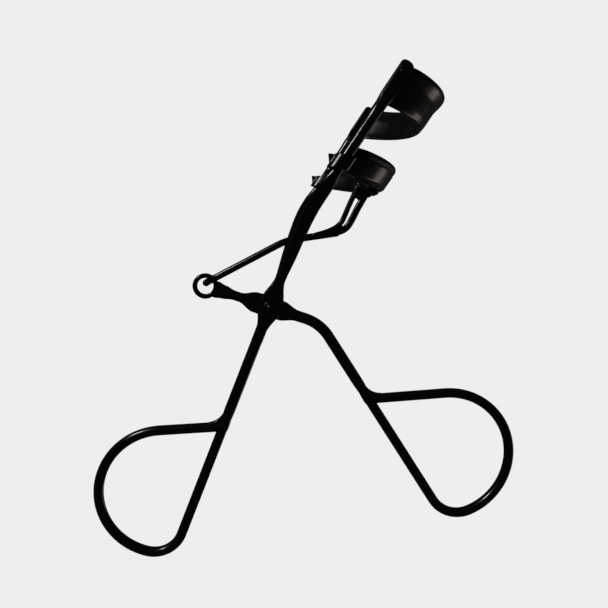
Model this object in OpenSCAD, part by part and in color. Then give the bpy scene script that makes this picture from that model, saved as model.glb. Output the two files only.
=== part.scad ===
// Eyelash curler with two finger loops, a fixed upper jaw and a sliding padded lower jaw.
// Frame: the guide posts stand along Z, the jaws bulge towards +X, the pivot pin lies along Y.
// Everything is symmetric about the plane Y = 0, except the hooked end of the link.

/* [Jaws] */
// Distance between the centres of the two guide posts
post_spacing = 33; // [30:0.5:38]
// Diameter of a guide post
post_d = 1.8; // [1.6:0.1:2]
// Distance that the jaws bulge in front of the guide posts
jaw_bulge = 9.57; // [9:0.01:10.5]
// Tilt of the two jaws where they meet, rising towards the front
jaw_tilt = 21.3; // [15:0.1:25]
// Tilt of the upper edge of the upper jaw plate
plate_top_tilt = 20.5; // [15:0.1:25]
// Height of the upper jaw plate at the guide posts
plate_height = 7; // [5:0.1:8]
// Thickness of the upper jaw plate
plate_thickness = 0.75; // [0.6:0.05:1]
// Depth of the lower jaw channel
channel_height = 3.35; // [2.8:0.05:4]
// Radial width of the lower jaw channel
channel_width = 2.65; // [2.4:0.05:3]
// Wall thickness of the lower jaw channel
channel_wall = 0.45; // [0.35:0.05:0.6]
// Height of the silicone pad above the channel
pad_crown = 1.45; // [1:0.05:2]
// Opening between the pad and the upper jaw plate with the handles open
jaw_gap = 7.85; // [7:0.05:10]

/* [Frame] */
// Height of the top of the guide posts above the pivot
post_top_z = 46; // [45.6:0.1:50]
// Height of the joint between a guide post and its leg above the pivot
leg_top_z = 24.8; // [24:0.1:25]
// Distance that the guide posts stand behind the pivot
post_setback = 4.57; // [4.2:0.01:5]
// Lean of the legs between the pivot and the knee below the posts
leg_lean = 14; // [13:0.1:16]
// Slope of the legs as they close in on the pivot, seen from the front
leg_splay = 43; // [42:0.5:44]
// Width of a leg at the top
leg_width = 2.3; // [2:0.1:2.6]
// Thickness of a leg strip
leg_thickness = 1.05; // [0.9:0.05:1.2]

/* [Handles] */
// Diameter of the finger loop wire
loop_wire_d = 1.9; // [1.6:0.1:2.2]
// Diameter of the handle shanks
shank_d = 2.1; // [1.9:0.1:2.3]
// Lean of the fixed handle from the vertical
fixed_lean = 12.7; // [10:0.1:15]
// Droop of the lever handle below the horizontal
lever_droop = 23.4; // [20:0.1:26]
// Distance between the line of the lever handle and the pivot
lever_offset = 6.36; // [6:0.01:7]
// Radius of the large arc of the fixed finger loop
fixed_loop_r = 12.4; // [11:0.1:13]
// Radius of the large arc of the lever's finger loop
lever_loop_r = 12.6; // [11:0.1:13]

/* [Lever] */
// Rise of the lever arm towards the handle
arm_rise = 15.6; // [14:0.1:17]
// Distance between the pivot and the eye
eye_distance = 12.73; // [12:0.01:13.5]
// Radius of the hole in the eye
eye_r = 1.6; // [1.5:0.05:1.7]
// Thickness of the flattened lever arm
arm_thickness = 1.2; // [1:0.05:1.4]
// Diameter of the pivot rivet
rivet_d = 1.5; // [1.3:0.1:1.7]

/* [Link] */
// Diameter of the link rod
link_d = 1.32; // [1.2:0.02:1.34]
// Thickness of the link bracket
bracket_thickness = 1.2; // [1:0.1:1.4]

/* [Hidden] */
$fn = 48;
SIDES = [-1, 1];
post_r = post_d / 2;
post_y = post_spacing / 2;
post_x = -post_setback;
front_x = post_x + jaw_bulge;

// Jaw heights, measured where the jaws meet the guide posts
channel_z = 25.65;
pad_z = channel_z + channel_height;
pad_top_z = pad_z + pad_crown;
plate_z = pad_top_z + jaw_gap;

// Plan of the jaws: a wide front arc with a smaller arc at each end
front_r = 18.9;
corner_r = 4.9;
post_lap = 0.3;
plate_half_y = post_y - post_r + post_lap;
channel_half_y = post_y - post_r - post_lap;
corner_steps = 6;
front_steps = 24;
plate_back_x = post_x - 0.85;
channel_back_x = post_x - 0.6;
channel_front_x = front_x + 0.35;
channel_floor = 0.6;

// Guide eyelets of the lower jaw
slide_clearance = 0.08;
eyelet_bore_r = post_r + slide_clearance;
eyelet_r = 1.65;
eyelet_height = 2.55;
ear_thickness = 1;
ear_outline = [[0, -0.5], [-1.3, -0.5], [-1.6, 0.1], [-2.55, 1.25], [-1, 2], [0, 2.3]];

// Rivets that hold the upper jaw plate to the guide posts
plate_rivet_r = 0.3;
plate_rivet_head_r = 0.5;
plate_rivet_rise = 0.15;
plate_rivet_sink = 0.12;
plate_rivet_z = 43.8;
post_tip_h = 0.9;

// Pivot stack
bearing_gap = 0.05;
leg_inner_y = arm_thickness / 2 + bearing_gap;
leg_outer_y = leg_inner_y + leg_thickness;
paddle_r = 2.5;
hub_r = 2.1;
rivet_r = rivet_d / 2;
rivet_head_r = 1.3;
rivet_head_h = 0.4;
rivet_clearance = 0.05;

// Legs, seen from the front: shoulder arc, straight, foot arc
shoulder_r = 8.5;
foot_r = 7.5;
arc_steps = 12;
leg_foot_y = leg_inner_y + leg_thickness / 2;
leg_straight = (post_y - leg_foot_y - (shoulder_r + foot_r) * (1 - cos(leg_splay))) / sin(leg_splay);
leg_drop = (shoulder_r + foot_r) * sin(leg_splay) + leg_straight * cos(leg_splay);
leg_foot_z = leg_top_z - leg_drop;

// Legs, seen from the side: upright, knee, straight to the pivot, tail
knee_z = post_setback / tan(leg_lean);
knee_drop = 0.6;
leg_neck_width = 1.9;
leg_neck_run = 4.4;
paddle_run = 2.1;
paddle_width = 3.8;
tang_start = 3.6;
tail_end = 7.1;

// Handles, in their own plane: x along the shank, y towards the loop
wire_r = loop_wire_d / 2;
shank_r = shank_d / 2;
fixed_corner = [48, 0];
fixed_corner_r = 5.55;
fixed_corner_turn = 85;
lever_corner = [50.45, 0];
lever_corner_r = 6.05;
lever_corner_turn = 80;
loop_turn = 161;
weld_r = 2.2;
weld_thickness = 1.4;
weld_run = 2.4;
knee_r = 8.5;
bend_extra = 0.03;
bend_trim = 0.05;
bend_entry = 0.15;
butt_gap = 0.05;
lever_bend = arm_rise + lever_droop;
arm_end = 5.2;

// Lever eye and its travel
eye_ring_r = eye_r + 0.8;
eye_neck_r = 0.9;
eye_x = -eye_distance * cos(arm_rise);
eye_z = -eye_distance * sin(arm_rise);

// Link: a slotted bracket under the lower jaw, a rod and a hook through the eye
link_r = link_d / 2;
bracket_width = 2.65;
bracket_foot = [3.3, 20];
bracket_slant = 9.3;
slot_width = 0.8;
slot_shift = -0.2;
slot_run = [1.3, 6.2];
foot_x = [0.6, 4.9];
foot_half_y = 2.2;
foot_thickness = 0.6;
foot_rivet_r = 0.35;
foot_rivet_head_r = 0.6;
foot_rivet_head_h = 0.35;
foot_rivet_x = 4.1;
foot_rivet_y = 1.35;
hook_x = -12.45;
hook_z = eye_z + 0.64;
hook_y = 1.36;
hook_tip_y = -1.05;
ball_extra = 0.03;
ball_trim = 0.1;
link_points = [[3.3, 0, 19.6], [-4.66, 0.3, 12.3], [-11.45, hook_y, -0.95], [hook_x, hook_y, hook_z]];

// Extents that place the origin at the middle of the underside
function corner_end(p, r, a) = p + [r * sin(a), r * (1 - cos(a))];
function loop_centre(p, r, a, loop_r) = corner_end(p, r, a) + loop_r * [-sin(a), cos(a)];
fixed_centre = loop_centre(fixed_corner, fixed_corner_r, fixed_corner_turn, fixed_loop_r);
lever_centre = loop_centre(lever_corner, lever_corner_r, lever_corner_turn, lever_loop_r);
fixed_centre_z = -fixed_centre[0] * cos(fixed_lean) - fixed_centre[1] * sin(fixed_lean);
lever_centre_x = lever_centre[0] * cos(lever_droop) + (lever_centre[1] + lever_offset) * sin(lever_droop);
low_x = eye_x - eye_ring_r;
high_x = lever_centre_x + lever_loop_r + wire_r + bend_extra;
low_z = fixed_centre_z - fixed_loop_r - wire_r - bend_extra;
pivot_x = -(low_x + high_x) / 2;
pivot_z = -low_z;

BLACK = [0.07, 0.07, 0.075];
RUBBER = [0.16, 0.14, 0.14];

// ---- helpers ----

// The pivot is the centre of the design; this puts it in its place above the origin
module at_pivot() {
    translate([pivot_x, 0, pivot_z]) children();
}

// A cylinder along Y between two depths
module pin_y(r, y0, y1) {
    translate([0, y0, 0]) rotate([-90, 0, 0]) cylinder(r = r, h = y1 - y0);
}

// Joins shapes drawn in X and Z into one plate, with its thickness centred on a depth
module plate_xz(thickness, y = 0) {
    translate([0, y + thickness / 2, 0]) rotate([90, 0, 0])
        for (i = [0:$children - 1])
            linear_extrude(thickness) children(i);
}

// A straight rod between two points
module rod(a, b, r) {
    d = b - a;
    translate(a)
        rotate([0, acos(d[2] / norm(d)), atan2(d[1], d[0])])
            cylinder(r = r, h = norm(d));
}

// A straight rod made longer or shorter at both ends
module run(a, b, r, longer) {
    extra = longer * (b - a) / norm(b - a);
    rod(a - extra, b + extra, r);
}

// A bend lying in its own plane, a hair thicker than the straight runs that enter its ends
module elbow(centre, bend_r, start, turn, r) {
    trim = bend_trim / bend_r * 180 / PI;
    translate([centre[0], centre[1], 0])
        rotate([0, 0, start + trim])
            rotate_extrude(angle = turn - 2 * trim) translate([bend_r, 0]) circle(r = r + bend_extra);
}

// Points along an arc
function arc_points(centre, r, a0, a1, steps) =
    [for (i = [0:steps]) let (a = a0 + (a1 - a0) * i / steps) centre + r * [cos(a), sin(a)]];

// ---- jaws ----

// Line of a jaw seen from above, shrunk by an inset: straight end, corner, front arc, corner, straight end
function jaw_line(tip_x, half_y, back_x, inset) =
    let (centre = [tip_x - front_r, 0],
        corner_y = half_y - corner_r,
        corner_x = centre[0] + sqrt(pow(front_r - corner_r, 2) - pow(corner_y, 2)),
        sweep = atan2(corner_y, corner_x - centre[0]))
    concat([[back_x, inset - half_y]],
        arc_points([corner_x, -corner_y], corner_r - inset, -90, -sweep, corner_steps),
        arc_points(centre, front_r - inset, -sweep, sweep, front_steps),
        arc_points([corner_x, corner_y], corner_r - inset, sweep, 90, corner_steps),
        [[back_x, half_y - inset]]);

function reversed(list) = [for (i = [len(list) - 1:-1:0]) list[i]];

// Plan of a wall that follows the jaw between two insets
module jaw_band(tip_x, half_y, back_x, outer, inner) {
    polygon(concat(jaw_line(tip_x, half_y, back_x, outer), reversed(jaw_line(tip_x, half_y, back_x, inner))));
}

// The space between two heights at the guide posts, tilted like a jaw
module tilted_slab(z0, z1, tilt = jaw_tilt) {
    reach = 60;
    translate([post_x, 0, z0])
        rotate([0, -tilt, 0])
            translate([-reach / 2, -reach / 2, 0])
                cube([reach, reach, (z1 - z0) * cos(tilt)]);
}

module jaw_wall(tip_x, half_y, back_x, outer, inner, z0, z1) {
    spare = 10;
    intersection() {
        translate([0, 0, z0 - spare])
            linear_extrude(z1 - z0 + 2 * spare)
                jaw_band(tip_x, half_y, back_x, outer, inner);
        tilted_slab(z0, z1);
    }
}

module plate_body() {
    top_z = plate_z + plate_height;
    spare = 20;
    intersection() {
        translate([0, 0, plate_z - spare])
            linear_extrude(3 * spare)
                jaw_band(front_x, plate_half_y, plate_back_x, 0, plate_thickness);
        tilted_slab(plate_z, plate_z + spare);
        tilted_slab(top_z - spare, top_z, plate_top_tilt);
    }
}

module plate_rivet_holes() {
    translate([post_x, 0, plate_rivet_z]) pin_y(plate_rivet_r, -post_y - 5, post_y + 5);
}

module upper_jaw_plate() {
    color(BLACK) at_pivot() difference() {
        plate_body();
        plate_rivet_holes();
    }
}

module plate_rivets() {
    color(BLACK) at_pivot() for (side = SIDES) {
        translate([post_x, 0, plate_rivet_z]) rotate([0, 0, side > 0 ? 0 : 180]) {
            pin_y(plate_rivet_r, plate_half_y - plate_thickness, post_y + post_r);
            pin_y(plate_rivet_head_r, post_y + post_r - plate_rivet_sink, post_y + post_r + plate_rivet_rise);
        }
    }
}

// ---- frame ----

// A guide post with a rounded tip, flattened where the upper jaw plate lies against it
module guide_post(side) {
    color(BLACK) at_pivot() difference() {
        translate([post_x, side * post_y, 0]) {
            translate([0, 0, leg_top_z]) cylinder(r = post_r, h = post_top_z - post_tip_h - leg_top_z);
            translate([0, 0, post_top_z - post_tip_h]) post_tip();
        }
        plate_body();
        plate_rivet_holes();
        translate([post_x, 0, plate_rivet_z]) for (end = SIDES)
            translate([0, end * (post_y + post_r), 0])
                pin_y(plate_rivet_head_r, -plate_rivet_sink, plate_rivet_sink);
    }
}

// Half a ball on the end of a post
module post_tip() {
    intersection() {
        sphere(r = post_r);
        cylinder(r = post_d, h = post_d);
    }
}

// A leg seen from the front, as a strip that runs in from the post to the pivot and down to its tail
module leg_front(side) {
    h = leg_thickness / 2;
    top = [for (i = [0:arc_steps]) let (a = leg_splay * i / arc_steps)
        [post_y - shoulder_r * (1 - cos(a)), leg_top_z - shoulder_r * sin(a), a]];
    low = [for (i = [0:arc_steps]) let (a = leg_splay * (1 - i / arc_steps))
        [leg_foot_y + foot_r * (1 - cos(a)), leg_foot_z + foot_r * sin(a), a]];
    line = concat(top, low, [[leg_foot_y, -tail_end * cos(fixed_lean) - 0.1, 0]]);
    inner = [for (p = line) [side * (p[0] - h * cos(p[2])), p[1] + h * sin(p[2])]];
    outer = [for (i = [len(line) - 1:-1:0]) let (p = line[i])
        [side * (p[0] + h * cos(p[2])), p[1] - h * sin(p[2])]];
    polygon(concat(inner, outer));
}

// A leg seen from the side: upright below the post, then leaning forward to the pivot and its tail
module leg_side() {
    w = leg_width / 2;
    n = leg_neck_width / 2;
    along = [-sin(leg_lean), cos(leg_lean)];
    across = [cos(leg_lean), sin(leg_lean)];
    below = [sin(fixed_lean), -cos(fixed_lean)];
    beside = [cos(fixed_lean), sin(fixed_lean)];
    paddle = paddle_width / 2;
    front = [leg_neck_run * along + n * across, paddle_run * along + paddle * across,
        paddle_run * below + paddle * beside, leg_neck_run * below + shank_r * beside,
        tail_end * below + shank_r * beside];
    back = [tail_end * below - shank_r * beside, leg_neck_run * below - shank_r * beside,
        paddle_run * below - paddle * beside, paddle_run * along - paddle * across,
        leg_neck_run * along - n * across];
    polygon(concat([[post_x - w, leg_top_z], [post_x + w, leg_top_z], [post_x + w, knee_z]],
        front, back, [[post_x - w, knee_z - knee_drop]]));
}

module leg(side) {
    color(BLACK) at_pivot() difference() {
        intersection() {
            translate([-20, 0, 0]) rotate([90, 0, 90]) linear_extrude(40) leg_front(side);
            plate_xz(post_spacing + 10) {
                leg_side();
                circle(r = paddle_r);
            }
        }
        pin_y(rivet_r, -5, 5);
    }
}

module rivet_head() {
    ball_r = (pow(rivet_head_r, 2) + pow(rivet_head_h, 2)) / (2 * rivet_head_h);
    intersection() {
        translate([0, 0, rivet_head_h - ball_r]) sphere(r = ball_r);
        cylinder(r = 2 * rivet_head_r, h = 2 * rivet_head_h);
    }
}

module pivot_rivet() {
    color(BLACK) at_pivot() {
        pin_y(rivet_r, -leg_outer_y, leg_outer_y);
        translate([0, leg_outer_y, 0]) rotate([-90, 0, 0]) rivet_head();
        translate([0, -leg_outer_y, 0]) rotate([90, 0, 0]) rivet_head();
    }
}

// ---- handles ----

// Turns the handle plane into place, with its shank pointing down and the loop behind
module fixed_plane() {
    rotate([0, 90 - fixed_lean, 0]) rotate([-90, 0, 0]) children();
}

// Turns the handle plane into place, with its shank pointing forward and the loop above
module lever_plane() {
    rotate([0, lever_droop, 0]) translate([0, 0, lever_offset]) rotate([90, 0, 0]) children();
}

function loop_joint_x(p, r, a, loop_r) =
    let (h = a + loop_turn, q = loop_centre(p, r, a, loop_r) + loop_r * [sin(h), -cos(h)])
    q[0] - q[1] / tan(h);
fixed_joint_x = loop_joint_x(fixed_corner, fixed_corner_r, fixed_corner_turn, fixed_loop_r);
lever_joint_x = loop_joint_x(lever_corner, lever_corner_r, lever_corner_turn, lever_loop_r);

// A loop of wire that runs on from the shank, turns round and comes back to it
module finger_loop(corner, bend_r, turn, loop_r) {
    joint_x = loop_joint_x(corner, bend_r, turn, loop_r);
    centre = loop_centre(corner, bend_r, turn, loop_r);
    heading = turn + loop_turn;
    back = centre + loop_r * [sin(heading), -cos(heading)];
    bend = concat(corner_end(corner, bend_r, turn), [0]);
    heading_out = [cos(turn), sin(turn), 0];
    run([joint_x - weld_run + bend_entry, 0, 0], [corner[0], 0, 0], wire_r, bend_entry);
    elbow([corner[0], bend_r], bend_r, -90, turn, wire_r);
    elbow(centre, loop_r, turn - 90, loop_turn, wire_r);
    rod(bend - bend_entry * heading_out, bend + bend_entry * heading_out, wire_r);
    difference() {
        run([back[0], back[1], 0], [joint_x, 0, 0], wire_r, bend_entry);
        rod([joint_x - weld_run, 0, 0], [corner[0], 0, 0], wire_r + butt_gap);
    }
}

// The filled corner where the wire comes back to the shank
module loop_weld(corner, bend_r, turn, loop_r) {
    joint = [loop_joint_x(corner, bend_r, turn, loop_r), 0];
    return_angle = turn + loop_turn - 180;
    half = (180 - return_angle) / 2;
    reach = (weld_r + wire_r) / sin(half);
    run = reach * cos(half);
    middle = joint + reach * [cos(return_angle + half), sin(return_angle + half)];
    difference() {
        translate([0, 0, -weld_thickness / 2]) linear_extrude(weld_thickness) difference() {
            polygon([joint, joint + run * [cos(return_angle), sin(return_angle)], middle, joint - [run, 0]]);
            translate(middle) circle(r = weld_r);
        }
        finger_loop(corner, bend_r, turn, loop_r);
    }
}

module fixed_finger_loop() {
    color(BLACK) at_pivot() fixed_plane()
        finger_loop(fixed_corner, fixed_corner_r, fixed_corner_turn, fixed_loop_r);
}

module fixed_loop_weld() {
    color(BLACK) at_pivot() fixed_plane()
        loop_weld(fixed_corner, fixed_corner_r, fixed_corner_turn, fixed_loop_r);
}

module lever_finger_loop() {
    color(BLACK) at_pivot() lever_plane()
        finger_loop(lever_corner, lever_corner_r, lever_corner_turn, lever_loop_r);
}

module lever_loop_weld() {
    color(BLACK) at_pivot() lever_plane()
        loop_weld(lever_corner, lever_corner_r, lever_corner_turn, lever_loop_r);
}

// The fixed shank, flattened at the top into a tang between the tails of the legs
module fixed_shank() {
    color(BLACK) at_pivot() fixed_plane() {
        translate([tang_start, -shank_r, -leg_inner_y])
            cube([tail_end - tang_start, shank_d, 2 * leg_inner_y]);
        rod([tail_end, 0, 0], [fixed_joint_x - weld_run, 0, 0], shank_r);
    }
}

// The lever shank: on from the arm, round the knee and out to the loop
module lever_shank() {
    knee_x = lever_offset / tan(lever_bend);
    tangent = knee_r * tan(lever_bend / 2);
    direction = [cos(lever_bend), sin(lever_bend), 0];
    pivot = [0, -lever_offset, 0];
    color(BLACK) at_pivot() lever_plane() {
        run(pivot + (arm_end + bend_entry) * direction, [knee_x, 0, 0] - tangent * direction, shank_r,
            bend_entry);
        elbow([knee_x + tangent, -knee_r], knee_r, 90, lever_bend, shank_r);
        run([knee_x + tangent, 0, 0], [lever_joint_x - weld_run - bend_entry, 0, 0], shank_r, bend_entry);
    }
}

// ---- lever ----

// The flat arm: an eye at the back, a broad hub at the pivot, narrowing to the shank
module lever_arm() {
    hub_edge = hub_r - 0.2;
    arm_edge = [[-eye_distance, eye_neck_r], [-5.7, eye_neck_r], [-3.1, hub_edge], [0, hub_edge + 0.1],
        [2.5, hub_edge], [arm_end, shank_r]];
    color(BLACK) at_pivot() rotate([0, -arm_rise, 0]) difference() {
        plate_xz(arm_thickness) {
            circle(r = hub_r);
            polygon(concat(arm_edge, reversed([for (p = arm_edge) [p[0], -p[1]]])));
            translate([-eye_distance, 0]) circle(r = eye_ring_r);
        }
        translate([-eye_distance, 0, 0]) pin_y(eye_r, -5, 5);
        pin_y(rivet_r + rivet_clearance, -5, 5);
    }
}

// ---- lower jaw ----

module channel_wall_ring(outer, inner, z0, z1) {
    jaw_wall(channel_front_x, channel_half_y, channel_back_x, outer, inner, z0, z1);
}

// Places its children on the underside of the channel, where the bracket is riveted
module at_foot_rivets() {
    rise = (foot_rivet_x - post_x) * tan(jaw_tilt);
    for (side = SIDES)
        translate([foot_rivet_x, side * foot_rivet_y, channel_z + rise]) rotate([0, -jaw_tilt, 0]) children();
}

module foot_rivet_hole() {
    translate([0, 0, -2]) cylinder(r = foot_rivet_r, h = 4);
}

module lower_jaw_channel() {
    color(BLACK) at_pivot() difference() {
        channel_wall_ring(0, channel_width, channel_z, pad_z);
        channel_wall_ring(channel_wall, channel_width - channel_wall, channel_z + channel_floor, pad_z + 2);
        for (side = SIDES)
            post_sleeve(side, eyelet_r);
        at_foot_rivets() foot_rivet_hole();
    }
}

// A cylinder round a guide post, past both faces of the channel
module post_sleeve(side, r) {
    spare = 5;
    translate([post_x, side * post_y, channel_z - spare]) cylinder(r = r, h = channel_height + 2 * spare);
}

// A ring that slides on a guide post, with a pinched ear behind it
module guide_eyelet(side) {
    color(BLACK) at_pivot() difference() {
        union() {
            intersection() {
                post_sleeve(side, eyelet_r);
                tilted_slab(channel_z, channel_z + eyelet_height);
            }
            plate_xz(ear_thickness, side * post_y) translate([post_x, channel_z]) polygon(ear_outline);
        }
        post_sleeve(side, eyelet_bore_r);
    }
}

module silicone_pad() {
    color(RUBBER) at_pivot() {
        channel_wall_ring(channel_wall, channel_width - channel_wall, channel_z + channel_floor, pad_z + 0.5);
        channel_wall_ring(0, channel_width, pad_z, pad_top_z);
    }
}

// ---- link ----

module bracket_body() {
    slot_r = slot_width / 2;
    half = bracket_width / 2;
    spare = 5;
    intersection() {
        translate([foot_x[0], -foot_half_y, channel_z - spare])
            cube([foot_x[1] - foot_x[0], 2 * foot_half_y, 3 * spare]);
        tilted_slab(channel_z - foot_thickness, channel_z);
    }
    difference() {
        plate_xz(bracket_thickness) translate(bracket_foot) rotate(bracket_slant) difference() {
            union() {
                translate([-half, 0]) square([bracket_width, 2 * spare]);
                circle(r = half + 0.02);
            }
            translate([slot_shift - slot_r, slot_run[0]]) square([slot_width, slot_run[1] - slot_run[0]]);
            for (z = slot_run)
                translate([slot_shift, z]) circle(r = slot_r);
        }
        tilted_slab(channel_z - foot_thickness / 2, channel_z + 3 * spare);
    }
}

module link_bracket() {
    color(BLACK) at_pivot() difference() {
        bracket_body();
        at_foot_rivets() foot_rivet_hole();
    }
}

module bracket_rivets() {
    plate = foot_thickness * cos(jaw_tilt);
    floor = channel_floor * cos(jaw_tilt);
    color(BLACK) at_pivot() at_foot_rivets() {
        translate([0, 0, -plate]) cylinder(r = foot_rivet_r, h = plate + floor);
        translate([0, 0, -plate - foot_rivet_head_h]) cylinder(r = foot_rivet_head_r, h = foot_rivet_head_h);
    }
}

// The rod from the bracket to the eye, and the hook that passes through the eye
module link_rod() {
    last = len(link_points) - 1;
    color(BLACK) at_pivot() difference() {
        union() {
            for (i = [0:last - 1])
                run(link_points[i], link_points[i + 1], link_r, -ball_trim);
            for (i = [1:last])
                translate(link_points[i]) sphere(r = link_r + ball_extra);
            run([hook_x, hook_tip_y, hook_z], link_points[last], link_r, -ball_trim);
        }
        bracket_body();
    }
}

upper_jaw_plate();
plate_rivets();
guide_post(-1);  // right_guide_post
guide_post(1);  // left_guide_post
leg(-1);  // right_leg
leg(1);  // left_leg
pivot_rivet();
fixed_shank();
fixed_finger_loop();
fixed_loop_weld();
lever_arm();
lever_shank();
lever_finger_loop();
lever_loop_weld();
lower_jaw_channel();
guide_eyelet(-1);  // right_guide_eyelet
guide_eyelet(1);  // left_guide_eyelet
silicone_pad();
link_bracket();
bracket_rivets();
link_rod();
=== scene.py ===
import bpy
import bmesh
from math import acos, atan2, ceil, cos, degrees, pi, radians, sin, sqrt, tan
from mathutils import Matrix, Vector


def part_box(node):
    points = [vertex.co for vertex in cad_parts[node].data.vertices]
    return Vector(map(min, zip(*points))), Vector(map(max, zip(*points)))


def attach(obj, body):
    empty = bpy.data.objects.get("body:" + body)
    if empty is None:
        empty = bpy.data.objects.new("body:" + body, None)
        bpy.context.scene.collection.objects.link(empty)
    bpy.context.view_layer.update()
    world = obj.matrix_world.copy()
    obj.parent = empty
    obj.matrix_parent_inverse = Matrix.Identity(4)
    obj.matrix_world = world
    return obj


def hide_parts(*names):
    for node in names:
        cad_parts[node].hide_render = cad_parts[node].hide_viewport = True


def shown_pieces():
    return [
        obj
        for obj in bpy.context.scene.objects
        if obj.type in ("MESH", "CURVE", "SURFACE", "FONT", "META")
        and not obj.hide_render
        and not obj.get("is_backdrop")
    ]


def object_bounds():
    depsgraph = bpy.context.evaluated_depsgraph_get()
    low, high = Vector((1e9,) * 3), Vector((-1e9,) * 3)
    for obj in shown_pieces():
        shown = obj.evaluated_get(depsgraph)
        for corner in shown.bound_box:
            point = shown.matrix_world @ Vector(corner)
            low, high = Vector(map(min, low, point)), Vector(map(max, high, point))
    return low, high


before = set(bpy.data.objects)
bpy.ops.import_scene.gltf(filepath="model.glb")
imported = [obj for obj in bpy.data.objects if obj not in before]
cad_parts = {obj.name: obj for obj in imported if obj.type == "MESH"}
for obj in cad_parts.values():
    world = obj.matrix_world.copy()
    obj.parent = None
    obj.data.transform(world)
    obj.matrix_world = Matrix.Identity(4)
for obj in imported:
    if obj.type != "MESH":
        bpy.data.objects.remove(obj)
cad_low, cad_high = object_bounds()

# ---- the frame's own measures ----

MM = 0.001
low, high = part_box("pivot_rivet")
PIVOT = (Vector(low) + Vector(high)) / 2
STEEL = "black_coated_steel"
SILICONE = "black_silicone"

# millimetres from the pivot, as in the part
POST_X, POST_Y, POST_R, POST_TOP = -4.57, 16.5, 0.9, 46.0
LEG_TOP, LEG_LEAN, LEG_SPLAY, TAIL_END = 24.8, 14.0, 43.0, 7.1
JAW_TILT, FRONT_R, CORNER_R = 21.3, 18.9, 4.9
FRONT_X, CHANNEL_FRONT_X = 5.0, 5.35
CHANNEL_Z, CHANNEL_H, CHANNEL_W, PAD_CROWN = 25.65, 3.35, 2.65, 1.45
PLATE_Z, PLATE_H, PLATE_T, PLATE_TOP_TILT = 38.3, 7.0, 0.75, 20.5
FIXED_LEAN, LEVER_DROOP, LEVER_OFFSET, ARM_RISE = 12.7, 23.4, 6.36, 15.6
EYE_DISTANCE, EYE_R, EYE_RING_R = 12.73, 1.6, 2.4
LOOP_TURN, WIRE_R, SHANK_R, KNEE_R = 161.0, 0.95, 1.05, 8.5
# finger loops: place of the first corner, its radius and turn, and the radius of the large arc
FIXED_LOOP = (48.0, 5.55, 85.0, 12.4)
LEVER_LOOP = (50.45, 6.05, 80.0, 12.6)
LINK_R = 0.66
Y = Vector((0, 1, 0))


def row(p):
    return PIVOT + Vector(p) * MM


def sind(a):
    return sin(radians(a))


def cosd(a):
    return cos(radians(a))


def smooth(t):
    t = min(max(t, 0.0), 1.0)
    return t * t * (3 - 2 * t)


def mix(a, b, t):
    return a + (b - a) * t


def stepped(x, table):
    """Eased value between the (place, value) pairs of a table."""
    for (x0, v0), (x1, v1) in zip(table, table[1:]):
        if x <= x1:
            return mix(v0, v1, smooth((x - x0) / (x1 - x0)))
    return table[-1][1]


# ---- mesh building ----


def piece(name, verts, faces, body, material, slot, stands_for=()):
    me = bpy.data.meshes.new(name)
    me.from_pydata([tuple(row(v)) for v in verts], [], faces)
    me.polygons.foreach_set("use_smooth", [True] * len(me.polygons))
    me.materials.append(material)
    me.update()
    ob = bpy.data.objects.new(name, me)
    bpy.context.scene.collection.objects.link(ob)
    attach(ob, body)
    if stands_for:
        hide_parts(*stands_for)
    return ob


def joined(*parts):
    """One (verts, faces) from several."""
    verts, faces = [], []
    for v, f in parts:
        faces += [tuple(i + len(verts) for i in face) for face in f]
        verts += v
    return verts, faces


def skin(rings, closed=False):
    """Faces over rings of equal length, with a fan over each open end."""
    n = len(rings[0])
    verts = [p for ring in rings for p in ring]
    faces = []
    count = len(rings)
    for i in range(count if closed else count - 1):
        a, b = i * n, ((i + 1) % count) * n
        for k in range(n):
            m = (k + 1) % n
            faces.append((a + k, a + m, b + m, b + k))
    if not closed:
        for start, turn in ((0, 1), ((count - 1) * n, -1)):
            ring = verts[start:start + n]
            verts.append(sum(ring, Vector()) / n)
            c = len(verts) - 1
            for k in range(n):
                m = (k + 1) % n
                faces.append((start + m, start + k, c) if turn > 0 else (start + k, start + m, c))
    return verts, faces


def bar(path, wide, thick, power, side=Y, sides=36, dome=(True, True)):
    """A bar along a path. Half width, half thickness along side, and squareness are functions of arc length."""
    path = [Vector(p) for p in path]
    run = [0.0]
    for a, b in zip(path, path[1:]):
        run.append(run[-1] + (b - a).length)
    rings, frames = [], []
    for i, p in enumerate(path):
        t = (path[min(i + 1, len(path) - 1)] - path[max(i - 1, 0)]).normalized()
        s = side(t, i) if callable(side) else side
        s = (s - t * s.dot(t)).normalized()
        frames.append((p, t, t.cross(s).normalized(), s, wide(run[i]), thick(run[i]), power(run[i])))

    def ring(p, across, s, w, h, e):
        out = []
        for k in range(sides):
            a = 2 * pi * k / sides
            c, d = cos(a), sin(a)
            out.append(p + across * (w * abs(c) ** (2 / e) * (1 if c > 0 else -1))
                       + s * (h * abs(d) ** (2 / e) * (1 if d > 0 else -1)))
        return out

    def cap(f, sign):
        p, t, across, s, w, h, e = f
        depth = min(w, h)
        return [ring(p + t * (sign * depth * sin(a)), across, s, w * cos(a) + 1e-4, h * cos(a) + 1e-4, e)
                for a in (pi * k / 12 for k in range(1, 6))]

    for f in frames:
        p, t, across, s, w, h, e = f
        rings.append(ring(p, across, s, w, h, e))
    if dome[0]:
        rings = cap(frames[0], -1)[::-1] + rings
    if dome[1]:
        rings += cap(frames[-1], 1)
    return skin(rings)


def lathe(centre, axis, profile, sides=48):
    """Turned form: profile holds (radius, height) from the rim to the crown."""
    axis = Vector(axis).normalized()
    a = axis.orthogonal().normalized()
    b = axis.cross(a)
    rings = []
    for r, h in profile:
        turns = [2 * pi * k / sides for k in range(sides)]
        rings.append([Vector(centre) + axis * h + (a * cos(t) + b * sin(t)) * r for t in turns])
    return skin(rings)


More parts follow.
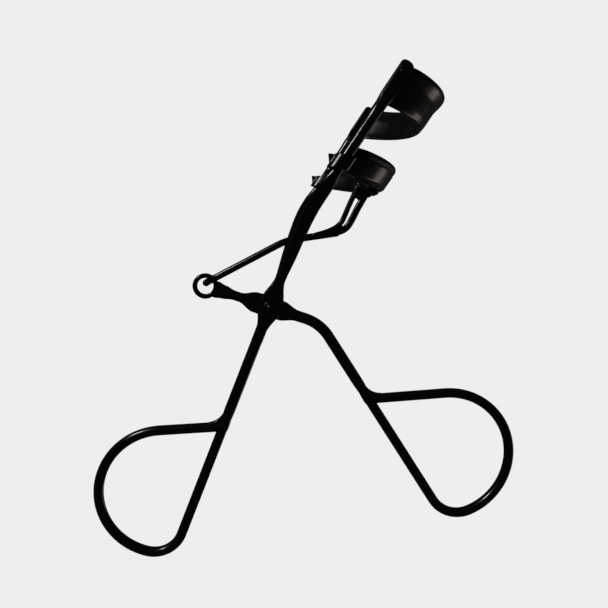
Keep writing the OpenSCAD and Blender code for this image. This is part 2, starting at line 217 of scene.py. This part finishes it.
def dome(centre, axis, r, h, skirt=0.3):
    """A rivet head: a short skirt, a rounded shoulder and a low crown."""
    ball = (r * r + h * h) / (2 * h)
    profile = [(r * 0.98, -skirt), (r, 0.0)]
    for k in range(1, 15):
        a = k / 15 * r
        x = r - a
        profile.append((x, sqrt(max(ball * ball - x * x, 0)) - (ball - h)))
    profile.append((1e-3, h))
    return lathe(centre, axis, profile)


def line(a, b, step=0.7):
    a, b = Vector(a), Vector(b)
    n = max(2, ceil((b - a).length / step))
    return [a.lerp(b, i / n) for i in range(n)]


def arc2(centre, r, a0, a1, step=2.5):
    n = max(3, ceil(abs(a1 - a0) / step))
    angles = [a0 + (a1 - a0) * i / n for i in range(n)]
    return [Vector((centre[0] + r * cosd(a), centre[1] + r * sind(a), 0)) for a in angles]


def rounded(points, radii, step=6.0):
    """A polyline in space with its corners turned into arcs."""
    pts = [Vector(p) for p in points]
    out = [pts[0]]
    for p0, p1, p2, r in zip(pts, pts[1:], pts[2:], radii):
        u, v = (p0 - p1).normalized(), (p2 - p1).normalized()
        half = acos(max(-1, min(1, u.dot(v)))) / 2
        reach = r / tan(half)
        centre = p1 + (u + v).normalized() * (r / sin(half))
        a, b = p1 + u * reach, p1 + v * reach
        turn = pi - 2 * half
        x, n = (a - centre).normalized(), max(4, ceil(degrees(turn) / step))
        z = (b - centre) - x * (b - centre).dot(x)
        z.normalize()
        out += line(out[-1], a)[1:]
        out += [centre + (x * cos(turn * i / n) + z * sin(turn * i / n)) * r for i in range(n + 1)]
    out += line(out[-1], pts[-1])[1:] + [pts[-1]]
    return out


def curve(points, per=6):
    """A smooth line in the handle plane through (x, z) points."""
    pts = [Vector((x, 0, z)) for x, z in points]
    pts = [2 * pts[0] - pts[1]] + pts + [2 * pts[-1] - pts[-2]]
    out = []
    for a, b, c, d in zip(pts, pts[1:], pts[2:], pts[3:]):
        for k in range(per):
            t = k / per
            out.append(0.5 * (2 * b + (c - a) * t + (2 * a - 5 * b + 4 * c - d) * t * t
                              + (3 * b - a - 3 * c + d) * t ** 3))
    return out + [pts[-2]]


def softened(parts, voxel, rounds):
    """Parts fused and rounded over, as solder and coating round a real joint. Works in millimetres."""
    verts, faces = joined(*parts)
    me = bpy.data.meshes.new("soft")
    me.from_pydata([tuple(v) for v in verts], [], faces)
    ob = bpy.data.objects.new("soft", me)
    bpy.context.scene.collection.objects.link(ob)
    remesh = ob.modifiers.new("remesh", "REMESH")
    remesh.mode, remesh.voxel_size, remesh.use_smooth_shade = "VOXEL", voxel, True
    relax = ob.modifiers.new("relax", "SMOOTH")
    relax.factor, relax.iterations = 0.5, rounds
    done = ob.evaluated_get(bpy.context.evaluated_depsgraph_get()).to_mesh()
    out = [v.co.copy() for v in done.vertices], [tuple(p.vertices) for p in done.polygons]
    bpy.data.objects.remove(ob)
    bpy.data.meshes.remove(me)
    return out


def cad(*nodes):
    """CAD nodes as verts and faces in millimetres from the pivot."""
    parts = []
    for n in nodes:
        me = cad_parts[n].data
        bm = bmesh.new()
        bm.from_mesh(me)
        bmesh.ops.remove_doubles(bm, verts=bm.verts, dist=1e-6)
        bm.verts.index_update()
        verts = [(v.co - PIVOT) / MM for v in bm.verts]
        parts.append((verts, [tuple(v.index for v in f.verts) for f in bm.faces]))
        bm.free()
    return joined(*parts)


# ---- materials ----


def nodes_of(name):
    m = bpy.data.materials.new(name)
    m.use_nodes = True
    return m, m.node_tree.nodes, m.node_tree.links, m.node_tree.nodes["Principled BSDF"]


def noise(nodes, links, coords, scale, detail=4.0, rough=0.55):
    n = nodes.new("ShaderNodeTexNoise")
    n.inputs["Scale"].default_value = scale
    n.inputs["Detail"].default_value = detail
    n.inputs["Roughness"].default_value = rough
    links.new(coords, n.inputs["Vector"])
    return n.outputs["Fac"]


def ramp(nodes, links, fac, stops):
    r = nodes.new("ShaderNodeValToRGB")
    for i, (place, colour) in enumerate(stops):
        e = r.color_ramp.elements[i] if i < 2 else r.color_ramp.elements.new(place)
        e.position, e.color = place, (*colour, 1)
    links.new(fac, r.inputs["Fac"])
    return r.outputs["Color"]


def spread(nodes, links, fac, low_in, high_in, low_out, high_out):
    r = nodes.new("ShaderNodeMapRange")
    for key, v in (("From Min", low_in), ("From Max", high_in), ("To Min", low_out), ("To Max", high_out)):
        r.inputs[key].default_value = v
    links.new(fac, r.inputs["Value"])
    return r.outputs["Result"]


def coated_steel(name, rough=(0.17, 0.27), tone=1.0, wear=0.5, coat=0.35):
    """Black baked coating on steel: faint orange peel, cloudy gloss, and worn, browner edges."""
    m, nodes, links, bsdf = nodes_of(name)
    coords = nodes.new("ShaderNodeTexCoord").outputs["Object"]
    cloud = noise(nodes, links, coords, 240, 5)
    body = ramp(nodes, links, cloud, [(0.3, (0.0014 * tone, 0.0014 * tone, 0.0015 * tone)),
                                      (0.72, (0.0034 * tone, 0.0030 * tone, 0.0027 * tone))])
    point = nodes.new("ShaderNodeNewGeometry").outputs["Pointiness"]
    edge = spread(nodes, links, point, 0.53, 0.62, 0.0, 1.0)
    scuff = spread(nodes, links, noise(nodes, links, coords, 1500, 6, 0.7), 0.46, 0.68, 0.0, wear)
    amount = nodes.new("ShaderNodeMath")
    amount.operation = "MULTIPLY"
    links.new(edge, amount.inputs[0])
    links.new(scuff, amount.inputs[1])
    colour = nodes.new("ShaderNodeMix")
    colour.data_type = "RGBA"
    links.new(amount.outputs[0], colour.inputs["Factor"])
    links.new(body, colour.inputs["A"])
    colour.inputs["B"].default_value = (0.030, 0.023, 0.018, 1)
    links.new(colour.outputs["Result"], bsdf.inputs["Base Color"])
    gloss = spread(nodes, links, noise(nodes, links, coords, 700, 5), 0.3, 0.7, *rough)
    links.new(gloss, bsdf.inputs["Roughness"])
    peel = noise(nodes, links, coords, 2600, 2, 0.4)
    grit = noise(nodes, links, coords, 11000, 3, 0.6)
    both = nodes.new("ShaderNodeMath")
    both.operation = "MULTIPLY_ADD"
    links.new(grit, both.inputs[0])
    both.inputs[1].default_value = 0.25
    links.new(peel, both.inputs[2])
    bump = nodes.new("ShaderNodeBump")
    bump.inputs["Strength"].default_value = 0.22
    bump.inputs["Distance"].default_value = 0.00002
    links.new(both.outputs[0], bump.inputs["Height"])
    links.new(bump.outputs["Normal"], bsdf.inputs["Normal"])
    bsdf.inputs["Specular IOR Level"].default_value = 0.45
    bsdf.inputs["Coat Weight"].default_value = coat
    bsdf.inputs["Coat Roughness"].default_value = 0.09
    return m


def silicone(name):
    """Dark silicone rubber: satin, slightly dusty, with fine moulding grain."""
    m, nodes, links, bsdf = nodes_of(name)
    coords = nodes.new("ShaderNodeTexCoord").outputs["Object"]
    cloud = noise(nodes, links, coords, 500, 6)
    body = ramp(nodes, links, cloud, [(0.3, (0.0024, 0.0022, 0.0022)), (0.75, (0.0065, 0.0056, 0.0052))])
    links.new(body, bsdf.inputs["Base Color"])
    sheen = noise(nodes, links, coords, 1800, 5)
    links.new(spread(nodes, links, sheen, 0.3, 0.7, 0.38, 0.56), bsdf.inputs["Roughness"])
    bump = nodes.new("ShaderNodeBump")
    bump.inputs["Strength"].default_value = 0.3
    bump.inputs["Distance"].default_value = 0.00003
    links.new(noise(nodes, links, coords, 7000, 4, 0.6), bump.inputs["Height"])
    links.new(bump.outputs["Normal"], bsdf.inputs["Normal"])
    bsdf.inputs["Specular IOR Level"].default_value = 0.4
    bsdf.inputs["Sheen Weight"].default_value = 0.08
    bsdf.inputs["Sheen Roughness"].default_value = 0.4
    return m


wire_black = coated_steel("wire_coating")
jaw_black = coated_steel("jaw_coating", (0.2, 0.3), 1.0, 0.6, 0.15)
rivet_black = coated_steel("rivet_coating", (0.2, 0.32), 1.4, 0.8, 0.2)
pad_black = silicone("pad_silicone")

# ---- posts and legs ----

LEG_INNER_Y, LEG_THICK = 0.65, 1.05
SHOULDER_R, FOOT_R, KNEE_SOFT = 8.5, 7.5, 1.1
# the swelling of solder under the flattened tab of each post
SOLDER_Z, SOLDER_REACH = 36.9, 1.5
# half width, half thickness and squareness of a post and its leg, against height
LEG_WIDE = [(-8, 1.0), (-4.5, 1.02), (0, 2.2), (0.8, 2.15), (5.6, 0.92), (11, 1.12), (22, 1.15),
            (25.2, POST_R), (37.4, POST_R), (39.6, 1.14)]
LEG_THIN = [(-8, 0.5), (21.5, 0.525), (25.2, POST_R), (37.4, POST_R), (39.6, 0.7)]
LEG_POWER = [(-8, 3.4), (21.5, 3.4), (25.2, 2.0), (37.4, 2.0), (39.6, 2.6)]


def leg_path(side):
    """Centreline of a post and its leg, from the tip down through the pivot to the tail."""
    foot_y = LEG_INNER_Y + LEG_THICK / 2
    straight = (POST_Y - foot_y - (SHOULDER_R + FOOT_R) * (1 - cosd(LEG_SPLAY))) / sind(LEG_SPLAY)
    foot_z = LEG_TOP - (SHOULDER_R + FOOT_R) * sind(LEG_SPLAY) - straight * cosd(LEG_SPLAY)
    yz = []
    z = POST_TOP - POST_R
    while z > LEG_TOP:
        yz.append((POST_Y, z))
        z -= 0.7
    for i in range(25):
        a = LEG_SPLAY * i / 24
        yz.append((POST_Y - SHOULDER_R * (1 - cosd(a)), LEG_TOP - SHOULDER_R * sind(a)))
    end = (foot_y + FOOT_R * (1 - cosd(LEG_SPLAY)), foot_z + FOOT_R * sind(LEG_SPLAY))
    start = yz[-1]
    for i in range(1, 20):
        yz.append((mix(start[0], end[0], i / 20), mix(start[1], end[1], i / 20)))
    for i in range(25):
        a = LEG_SPLAY * (1 - i / 24)
        yz.append((foot_y + FOOT_R * (1 - cosd(a)), foot_z + FOOT_R * sind(a)))
    z = foot_z - 0.3
    while z > -TAIL_END * cosd(FIXED_LEAN):
        yz.append((foot_y, z))
        z -= 0.3
    out = []
    for y, z in yz:
        if z < 0:
            x = -z * tan(radians(FIXED_LEAN))
        else:
            x = -z * tan(radians(LEG_LEAN))
        if z > 4:
            d = x - POST_X
            x = POST_X + (d + sqrt(d * d + 0.25 * KNEE_SOFT * KNEE_SOFT)) / 2
        out.append(Vector((x, side * y, z)))
    for _ in range(6):
        out = [out[0]] + [(a + b * 2 + c) / 4 for a, b, c in zip(out, out[1:], out[2:])] + [out[-1]]
    return out


def leg(side):
    path = leg_path(side)
    run, heights = 0.0, []
    for i, p in enumerate(path):
        if i:
            run += (p - path[i - 1]).length
        heights.append((run, p.z))

    def z_at(s):
        for (s0, z0), (s1, z1) in zip(heights, heights[1:]):
            if s <= s1:
                return mix(z0, z1, (s - s0) / (s1 - s0))
        return heights[-1][1]

    def swell(s):
        return smooth(1 - abs(z_at(s) - SOLDER_Z) / SOLDER_REACH)

    def wide(s):
        return 0.1 * swell(s) + stepped(z_at(s), LEG_WIDE)

    def thick(s):
        return 0.13 * swell(s) + stepped(z_at(s), LEG_THIN)

    def power(s):
        return stepped(z_at(s), LEG_POWER)

    return bar(path, wide, thick, power)


piece("right_post_and_leg", *leg(-1), "frame", wire_black, STEEL, ("right_guide_post", "right_leg"))
piece("left_post_and_leg", *leg(1), "frame", wire_black, STEEL, ("left_guide_post", "left_leg"))

heads = [dome((0, s * (LEG_INNER_Y + LEG_THICK), 0), (0, s, 0), 1.3, 0.36, 0.3) for s in (-1, 1)]
shaft = bar([(0, -1.8, 0), (0, 0, 0), (0, 1.8, 0)],
            lambda s: 0.75, lambda s: 0.75, lambda s: 2, Vector((1, 0, 0)))
piece("pivot_rivet_domed", *joined(*heads, shaft), "frame", rivet_black, STEEL, ("pivot_rivet",))

# ---- handles ----


def loop_measures(corner, bend_r, turn, loop_r):
    end = Vector((corner + bend_r * sind(turn), bend_r * (1 - cosd(turn)), 0))
    centre = end + loop_r * Vector((-sind(turn), cosd(turn), 0))
    h = turn + LOOP_TURN
    back = centre + loop_r * Vector((sind(h), -cosd(h), 0))
    joint = back.x - back.y / tan(radians(h))
    return centre, back, joint


def loop_line(start, corner, bend_r, turn, loop_r):
    """From the shank round the corner and the loop, and back into the shank's axis."""
    centre, back, joint = loop_measures(corner, bend_r, turn, loop_r)
    pts = line((start, 0, 0), (corner, 0, 0))
    pts += arc2((corner, bend_r), bend_r, -90, turn - 90)
    pts += arc2(centre, loop_r, turn - 90, turn - 90 + LOOP_TURN)
    pts += line(back, (joint, 0, 0)) + [Vector((joint, 0, 0))]
    return pts


def fixed_plane(p):
    c, d = cosd(FIXED_LEAN), sind(FIXED_LEAN)
    return Vector((p.x * d - p.y * c, 0, -p.x * c - p.y * d))


def lever_plane(p):
    c, d = cosd(LEVER_DROOP), sind(LEVER_DROOP)
    z = p.y + LEVER_OFFSET
    return Vector((p.x * c + z * d, 0, -p.x * d + z * c))


def web(plane, loop):
    """The brazed corner: stubs of both wires and a fillet between them, softened into one."""
    a = loop[2] + LOOP_TURN - 180
    u = Vector((cosd(a), sind(a), 0))
    j = Vector((loop_measures(*loop)[2], 0, 0))
    stubs = []
    for d, reach in ((Vector((-1, 0, 0)), 4.2), (Vector((1, 0, 0)), 1.6), (u, 4.0)):
        taper = lambda s, reach=reach: mix(WIRE_R + 0.12, WIRE_R - 0.14, smooth(s / reach))
        stub = [j + d * (reach * k / 12) for k in range(13)]
        stubs.append(bar(stub, taper, taper, lambda s: 2, Vector((0, 0, 1))))
    half = (180 - a) / 2
    fillet = 3.6
    reach = (fillet + WIRE_R) / sind(half)
    middle = j + Vector((cosd(a + half), sind(a + half), 0)) * reach
    rim = [middle + fillet * Vector((cosd(t), sind(t), 0)) for t in
           [a + half + 180 - (90 - half) + (180 - 2 * half) * k / 14 for k in range(15)]]
    outline = [j] + rim
    n = len(outline)
    verts = [p + Vector((0, 0, z)) for z in (-0.62, 0.62) for p in outline]
    faces = [tuple(range(n))[::-1], tuple(range(n, 2 * n))]
    faces += [(k, (k + 1) % n, (k + 1) % n + n, k + n) for k in range(n)]
    verts, faces = softened([*stubs, (verts, faces)], 0.11, 14)
    out = []
    for v in verts:
        p = plane(v)
        out.append(Vector((p.x, v.z, p.z)))
    return out, faces


def handle(plane, lead, loop, wide, thick, power):
    start = loop_measures(*loop)[2] - 6.0
    return bar(lead + [plane(p) for p in loop_line(start, *loop)], wide, thick, power)


# fixed handle: flat between the leg tails, then round, then the thinner loop wire
fixed_joint = loop_measures(*FIXED_LOOP)[2]
fixed_lead = [fixed_plane(p) for p in line((3.6, 0, 0), (fixed_joint - 6.0, 0, 0))]
fixed_swell = [(0, SHANK_R), (fixed_joint - 3.6 - 3.6, SHANK_R), (fixed_joint - 3.6 - 1.2, WIRE_R)]
fixed_flat = [(0, 0.63), (2.6, 0.63), (5.6, SHANK_R)] + fixed_swell[1:]
fixed_wire = handle(fixed_plane, fixed_lead, FIXED_LOOP,
                    lambda s: stepped(s, fixed_swell), lambda s: stepped(s, fixed_flat),
                    lambda s: stepped(s, [(0, 3.2), (2.6, 3.2), (5.6, 2)]))
piece("fixed_handle_wire", *fixed_wire, "frame", wire_black, STEEL, ("fixed_shank", "fixed_finger_loop"))
piece("fixed_loop_braze", *web(fixed_plane, FIXED_LOOP),
      "frame", wire_black, STEEL, ("fixed_loop_weld",))

# lever: eye, neck, flattened hub, round shank, knee, loop
bend = ARM_RISE + LEVER_DROOP
arm = Vector((cosd(ARM_RISE), 0, sind(ARM_RISE)))
knee_x = LEVER_OFFSET / tan(radians(bend))
tangent = KNEE_R * tan(radians(bend / 2))
knee = arc2((knee_x + tangent, -KNEE_R), KNEE_R, 90 + bend, 90)
lever_joint = loop_measures(*LEVER_LOOP)[2]
first = lever_plane(knee[0])
lever_lead = line(arm * -(EYE_DISTANCE - EYE_R - 0.45), first, 0.35) + [lever_plane(p) for p in knee]
lever_lead += [lever_plane(p) for p in line((knee_x + tangent, 0, 0), (lever_joint - 6.0, 0, 0))]
hub_at = EYE_DISTANCE - EYE_R - 0.45
shank_at = sum((b - a).length for a, b in zip(lever_lead, lever_lead[1:]))
lever_wide = [(0, 1.6), (1.6, 1.3), (3.6, 0.9), (hub_at - 6, 0.9), (hub_at - 2.9, 1.95), (hub_at, 2.08),
              (hub_at + 2.2, 1.9), (hub_at + 5.4, 1.06), (hub_at + 6.5, SHANK_R),
              (shank_at + 2.4, SHANK_R), (shank_at + 4.8, WIRE_R)]
lever_thick = [(0, 0.6), (1.2, 0.72), (3.4, 0.78), (6.6, 0.6), (hub_at + 2.2, 0.6), (hub_at + 5.6, SHANK_R)]
lever_thick += lever_wide[-2:]
lever_power = [(0, 2.4), (5.0, 2.4), (hub_at - 2, 3.4), (hub_at + 2, 3.4), (hub_at + 5.6, 2)]
lever_wire = handle(lever_plane, lever_lead, LEVER_LOOP,
                    lambda s: stepped(s, lever_wide), lambda s: stepped(s, lever_thick),
                    lambda s: stepped(s, lever_power))
eye = arm * -EYE_DISTANCE
ring_mid, ring_half = (EYE_R - 0.1 + EYE_RING_R) / 2, (EYE_RING_R - EYE_R + 0.1) / 2
rings = []
for k in range(72):
    a = 2 * pi * k / 72
    out = Vector((cos(a), 0, sin(a)))
    rings.append([])
    for q in range(24):
        b = 2 * pi * q / 24
        c, d = cos(b), sin(b)
        rings[-1].append(eye + out * (ring_mid + ring_half * abs(c) ** 0.72 * (1 if c > 0 else -1))
                         + Y * (0.6 * abs(d) ** 0.72 * (1 if d > 0 else -1)))
piece("lever_wire", *joined(lever_wire, skin(rings, closed=True)), "lever", wire_black, STEEL,
      ("lever_arm", "lever_shank", "lever_finger_loop"))
piece("lever_loop_braze", *web(lever_plane, LEVER_LOOP),
      "lever", wire_black, STEEL, ("lever_loop_weld",))

# ---- jaws ----


def jaw_plan(tip_x, half_y, back_x):
    """Points and outward normals along a jaw, seen from above."""
    cx = tip_x - FRONT_R
    ky = half_y - CORNER_R
    kx = cx + sqrt((FRONT_R - CORNER_R) ** 2 - ky ** 2)
    sweep = degrees(atan2(ky, kx - cx))
    out = []
    n = ceil((kx - back_x) / 0.5)
    for i in range(n):
        out.append((Vector((mix(back_x, kx, i / n), -half_y, 0)), Vector((0, -1, 0))))
    for i in range(24):
        a = mix(-90, -sweep, i / 24)
        d = Vector((cosd(a), sind(a), 0))
        out.append((Vector((kx, -ky, 0)) + d * CORNER_R, d))
    for i in range(60):
        a = mix(-sweep, sweep, i / 60)
        d = Vector((cosd(a), sind(a), 0))
        out.append((Vector((cx, 0, 0)) + d * FRONT_R, d))
    for i in range(24):
        a = mix(sweep, 90, i / 24)
        d = Vector((cosd(a), sind(a), 0))
        out.append((Vector((kx, ky, 0)) + d * CORNER_R, d))
    for i in range(n + 1):
        out.append((Vector((mix(kx, back_x, i / n), half_y, 0)), Vector((0, 1, 0))))
    return out


def jaw_form(plan, outline, z0, height=None, top_tilt=JAW_TILT):
    """Sweeps an outline of (inset, height) along a jaw. With a height, the upper edge can have its own tilt."""
    fall = tan(radians(JAW_TILT)) - tan(radians(top_tilt))
    rings = []
    count = len(plan) - 1
    for i, (p, n) in enumerate(plan):
        ring = []
        for inset, v in outline(i / count):
            q = p - n * inset
            share = v / height if height else 0
            ring.append(Vector((q.x, q.y, z0 + v + (q.x - POST_X) * (tan(radians(JAW_TILT)) - share * fall))))
        rings.append(ring)
    for end, other in ((0, 1), (-1, -2)):
        tip = rings[end]
        away = (sum(tip, Vector()) - sum(rings[other], Vector())).normalized()
        c = sum(tip, Vector()) / len(tip)
        near = [c + (p - c) * 0.9 + away * 0.1 for p in tip]
        far = [c + (p - c) * 0.72 + away * 0.16 for p in tip]
        rings = [far, near] + rings if end == 0 else rings + [near, far]
    return skin(rings)


def plate_outline(t):
    """Thin plate with rolled rims, its upper lip flared outwards."""
    half = PLATE_T / 2
    lip = 0.38 * smooth(sin(pi * t) * 3.0)
    mid = lambda v: half - lip * smooth((v - (PLATE_H - 2.7)) / 2.2) + 0.12 * smooth(1 - v / 1.4)
    steps = [0.35 + (PLATE_H - 0.7) * k / 22 for k in range(23)]
    outer = [(mid(v) - half, v) for v in steps]
    top = [(mid(PLATE_H) + half * cos(pi - pi * k / 8), PLATE_H - 0.35 + 0.35 * sin(pi * k / 8))
           for k in range(1, 8)]
    inner = [(mid(v) + half, v) for v in steps[::-1]]
    foot = [(mid(0) + half * cos(pi * k / 8), 0.35 - 0.35 * sin(pi * k / 8)) for k in range(1, 8)]
    return outer + top + inner + foot


plate = jaw_form(jaw_plan(FRONT_X, POST_Y - POST_R + 0.3, POST_X - 0.85), plate_outline, PLATE_Z,
                 PLATE_H, PLATE_TOP_TILT)
piece("upper_jaw_formed_plate", *plate, "frame", jaw_black, STEEL, ("upper_jaw_plate",))
buttons = [dome((POST_X, s * (POST_Y + POST_R - 0.12), 43.8), (0, s, 0), 0.5, 0.17, 0.4) for s in (-1, 1)]
piece("plate_rivet_heads", *joined(*buttons), "frame", rivet_black, STEEL, ("plate_rivets",))

channel_plan = jaw_plan(CHANNEL_FRONT_X, POST_Y - POST_R - 0.3, POST_X - 0.6)


def rounded_box(w, h, bottom, top, steps=7):
    pts = []
    for cx, cy, r, a0 in ((bottom, bottom, bottom, 270), (top, h - top, top, 180),
                          (w - top, h - top, top, 90), (w - bottom, bottom, bottom, 0)):
        for k in range(steps + 1):
            a = a0 - 90 * k / steps
            pts.append((cx + r * cosd(a), cy + r * sind(a)))
    return pts


def channel_outline(t):
    """Folded channel: rounded underside, sides that pull in a little, rolled upper edges."""
    pts = rounded_box(CHANNEL_W, CHANNEL_H, 0.62, 0.3)
    out = []
    for x, v in pts:
        waist = 0.12 * sin(pi * min(max((v - 0.5) / 2.3, 0), 1))
        out.append((x + waist if x < CHANNEL_W / 2 else x - waist, v))
    return out


def pad_outline(t):
    """Pad: a stem in the channel, then a crown that bulges over the rims and rounds off at the top."""
    ends = 0.35 + 0.65 * smooth(min(t, 1 - t) * 22)
    pts = []
    half = CHANNEL_W / 2
    for k in range(13):
        a = pi * k / 12
        pts.append((half - (half - 0.03) * cos(a) * abs(cos(a)) ** -0.25 if abs(cos(a)) > 1e-6 else half,
                    CHANNEL_H + 0.35 + (PAD_CROWN - 0.35) * ends * sin(a) ** 0.8))
    pts.append((CHANNEL_W - 0.3, CHANNEL_H + 0.05))
    pts.append((CHANNEL_W - 0.5, CHANNEL_H - 0.5))
    pts.append((0.5, CHANNEL_H - 0.5))
    pts.append((0.3, CHANNEL_H + 0.05))
    return pts


piece("lower_jaw_formed_channel", *jaw_form(channel_plan, channel_outline, CHANNEL_Z),
      "lower_jaw", jaw_black, STEEL, ("lower_jaw_channel",))
piece("curling_pad", *jaw_form(channel_plan, pad_outline, CHANNEL_Z),
      "lower_jaw", pad_black, SILICONE, ("silicone_pad",))
for hand in ("right", "left"):
    eyelet = softened([cad(hand + "_guide_eyelet")], 0.07, 7)
    piece(hand + "_eyelet_formed", *eyelet, "lower_jaw", jaw_black, STEEL, (hand + "_guide_eyelet",))

# ---- link ----

eye_z = -EYE_DISTANCE * sind(ARM_RISE)
hook = Vector((-12.45, 1.36, eye_z + 0.64))
route = [(2.6, 0, 18.6), (-4.5, 0.3, 12.05), (-11.45, 1.36, -0.95), hook, (hook.x, -0.62, hook.z)]
route = rounded(route, [10.0, 3.0, 0.75])
carried = [Vector((0, 1, 0))]


def rod_side(t, i):
    s = carried[0] - t * carried[0].dot(t)
    carried[0] = s.normalized()
    return carried[0]


rod = bar(route, lambda s: LINK_R, lambda s: LINK_R, lambda s: 2, rod_side)


def underside(x):
    """Height of the channel's underside."""
    return CHANNEL_Z + (x - POST_X) * tan(radians(JAW_TILT))


# the bracket: two arms round a slot, flowing together into the rod, a neck and a foot under the channel
under = [Vector((x, 0, underside(x) - 0.3)) for x in (0.9, 2.0, 3.2, 4.4)]
back_arm = curve([(1.0, 27.6), (1.3, 26.2), (1.66, 24.0), (2.08, 21.9), (2.2, 20.7), (1.8, 19.2),
                  (0.8, 17.6), (-0.6, 15.9)])
front_arm = curve([(3.0, 28.2), (3.1, 26.8), (3.25, 24.8), (3.55, 22.4), (3.62, 20.9), (3.25, 19.7),
                   (2.4, 18.7), (1.0, 17.3)])
neck = curve([(2.05, 26.6), (2.15, 27.4), (2.3, 28.2)])
yoke = softened([
    bar(back_arm, lambda s: 0.5, lambda s: 0.6, lambda s: 2.8),
    bar(front_arm, lambda s: 0.66, lambda s: 0.6, lambda s: 2.8),
    bar(neck, lambda s: mix(1.0, 1.85, smooth(s / 1.7)), lambda s: 0.6, lambda s: 3.4),
    bar(under, lambda s: 0.28, lambda s: 1.95, lambda s: 4.0, dome=(False, False)),
    bar(route[:8], lambda s: LINK_R, lambda s: LINK_R, lambda s: 2)], 0.075, 8)
piece("link_rod_bent", *rod, "lower_jaw", wire_black, STEEL, ("link_rod",))
piece("link_bracket_formed", *yoke, "lower_jaw", wire_black, STEEL, ("link_bracket",))
down = Vector((sind(JAW_TILT), 0, -cosd(JAW_TILT)))
feet = []
for s in (-1, 1):
    at = Vector((4.1, s * 1.35, underside(4.1))) + down * 0.5
    feet.append(dome(at, down, 0.6, 0.3, 0.3))
piece("bracket_rivet_heads", *joined(*feet), "lower_jaw", rivet_black, STEEL, ("bracket_rivets",))

# ---- floor, light, camera ----


def plain(name, colour, glow):
    m, nodes, links, bsdf = nodes_of(name)
    bsdf.inputs["Base Color"].default_value = (*colour, 1)
    bsdf.inputs["Roughness"].default_value = 0.9
    bsdf.inputs["Specular IOR Level"].default_value = 0.0
    bsdf.inputs["Emission Color"].default_value = (*colour, 1)
    bsdf.inputs["Emission Strength"].default_value = glow
    return m


SKY, AMBIENT = 0.855, 0.022
bpy.ops.mesh.primitive_circle_add(vertices=96, radius=40, fill_type="NGON", location=(0, 0, -0.0002))
floor = bpy.context.object
floor.name = "floor"
floor.data.materials.append(plain("pale_floor", (SKY, SKY, SKY), 1 - AMBIENT))
floor.visible_glossy = floor.visible_diffuse = False
floor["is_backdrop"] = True

world = bpy.data.worlds.new("studio")
bpy.context.scene.world = world
world.use_nodes = True
tree = world.node_tree
seen, soft = tree.nodes["Background"], tree.nodes.new("ShaderNodeBackground")
seen.inputs["Color"].default_value = (SKY, SKY, SKY, 1)
soft.inputs["Color"].default_value = (AMBIENT, AMBIENT, AMBIENT, 1)
choice = tree.nodes.new("ShaderNodeMixShader")
tree.links.new(tree.nodes.new("ShaderNodeLightPath").outputs["Is Camera Ray"], choice.inputs[0])
tree.links.new(soft.outputs[0], choice.inputs[1])
tree.links.new(seen.outputs[0], choice.inputs[2])
tree.links.new(choice.outputs[0], tree.nodes["World Output"].inputs["Surface"])

right = Vector((0.8252, -0.0662, 0.561)).normalized()
below = Vector((0.5527, -0.1104, -0.826)).normalized()
ahead = right.cross(below).normalized()
eye_point = row((-7.91, -110.25, 10.13))
camera = bpy.data.cameras.new("camera")
camera.sensor_width, camera.lens = 36, 34.58
camera.clip_start, camera.clip_end = 0.005, 100
viewer = bpy.data.objects.new("camera", camera)
bpy.context.scene.collection.objects.link(viewer)
turn = Matrix((right, -below, -ahead)).transposed()
viewer.matrix_world = Matrix.Translation(eye_point) @ turn.to_4x4()
bpy.context.scene.camera = viewer

lit = bpy.data.collections.new("lit")
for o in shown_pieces():
    lit.objects.link(o)


def softbox(name, across, up_by, back, distance, w, h, power, colour=(1, 1, 1)):
    """An area light placed by the camera's own left, up and back, aimed at the middle of the object."""
    middle = (cad_low + cad_high) / 2
    way = (right * across - below * up_by - ahead * back).normalized()
    light = bpy.data.lights.new(name, "AREA")
    light.shape, light.size, light.size_y = "RECTANGLE", w, h
    light.energy, light.color = power, colour
    ob = bpy.data.objects.new(name, light)
    bpy.context.scene.collection.objects.link(ob)
    ob.location = middle + way * distance
    ob.rotation_mode = "QUATERNION"
    ob.rotation_quaternion = (-way).to_track_quat("-Z", "Y")
    ob.light_linking.receiver_collection = lit
    return ob


softbox("key", -0.75, 0.75, 0.55, 0.5, 0.08, 0.1, 0.7)
softbox("side", 1.0, -0.5, -0.8, 0.45, 0.1, 0.26, 0.1, (1.0, 0.88, 0.8))
bpy.context.scene.view_settings.view_transform = "Standard"
